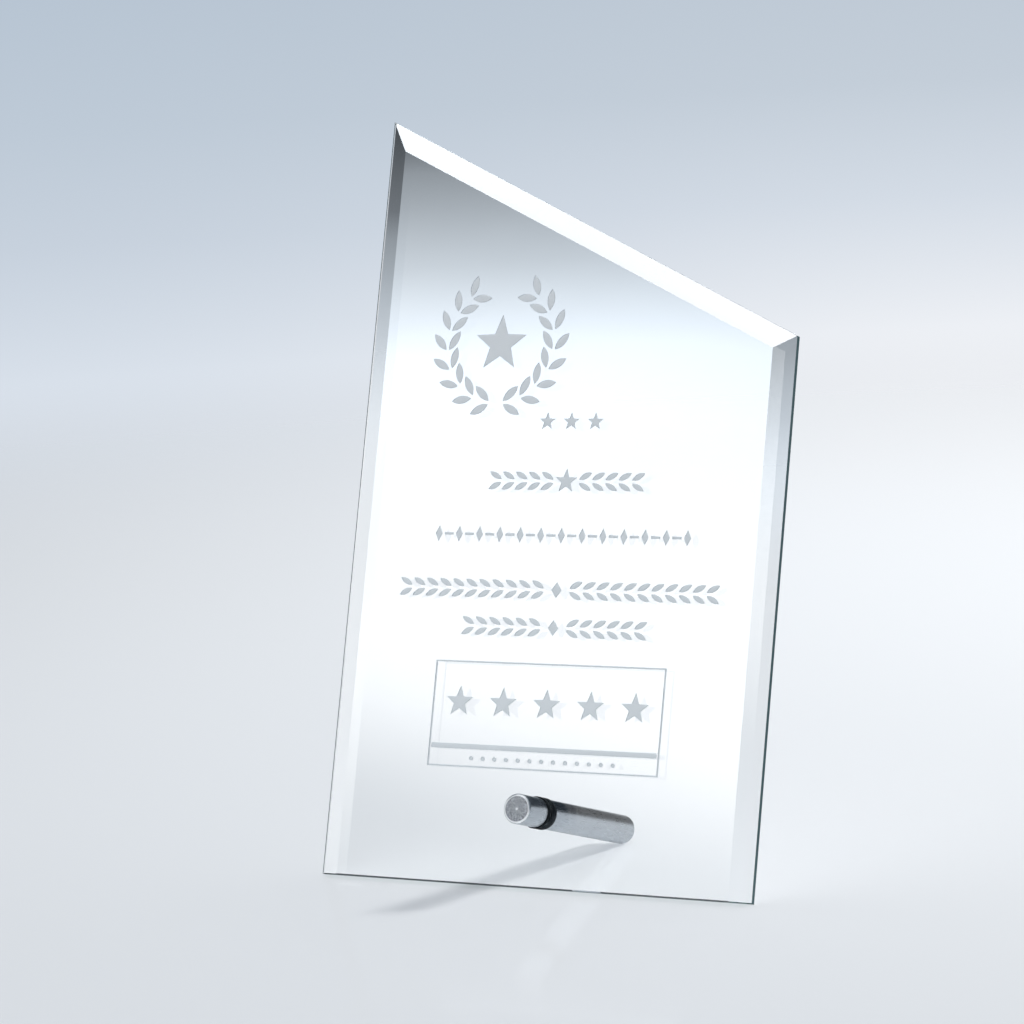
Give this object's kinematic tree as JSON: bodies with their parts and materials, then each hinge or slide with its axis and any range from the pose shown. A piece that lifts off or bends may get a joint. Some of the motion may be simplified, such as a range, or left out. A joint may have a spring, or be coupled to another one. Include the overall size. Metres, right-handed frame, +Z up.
{
  "type": "glass plaque award",
  "caption": "Bevelled clear glass plaque with a sloping top that leans back on a round metal pin screwed through its foot; frosted star and laurel decoration.",
  "frame": {"origin": "middle of the foot of the whole object's bounding box, on the plane it stands on", "axes": "+Z up; +X to the right seen from the front; the front of the plaque faces -Y and the support rod runs back towards +Y"},
  "size_m": [0.1524, 0.089, 0.2382],
  "materials": {
    "clear_glass": "polished clear plate glass with frosted engraving",
    "satin_steel": "satin turned",
    "black_rubber": "smooth matte",
    "black_nylon": "smooth matte",
    "zinc_steel": "bright zinc plated thread"
  },
  "bodies": {
    "plaque_and_rod": {"glass_plaque": "clear_glass", "hole_bush": "black_nylon", "rear_washer": "black_rubber", "support_rod": "satin_steel"},
    "washer_carrier": {"front_washer": "black_rubber"},
    "cap_and_stud": {"front_cap": "satin_steel", "threaded_stud": "zinc_steel"}
  },
  "joints": [
    {"name": "cap_advance", "type": "slide", "parent": "plaque_and_rod", "child": "washer_carrier", "axis": [0, -0.9504, 0.3111], "range_m": [0, 0.008]},
    {"name": "cap_unscrew", "type": "hinge", "parent": "washer_carrier", "child": "cap_and_stud", "pos_m": [0.0012, -0.0304, 0.02396], "axis": [0, -0.9504, 0.3111], "range_deg": [0, 3600]}
  ],
  "couplings": [
    {"joint": "cap_advance", "follows": "cap_unscrew", "m_per_rad": 0.00012732}
  ]
}
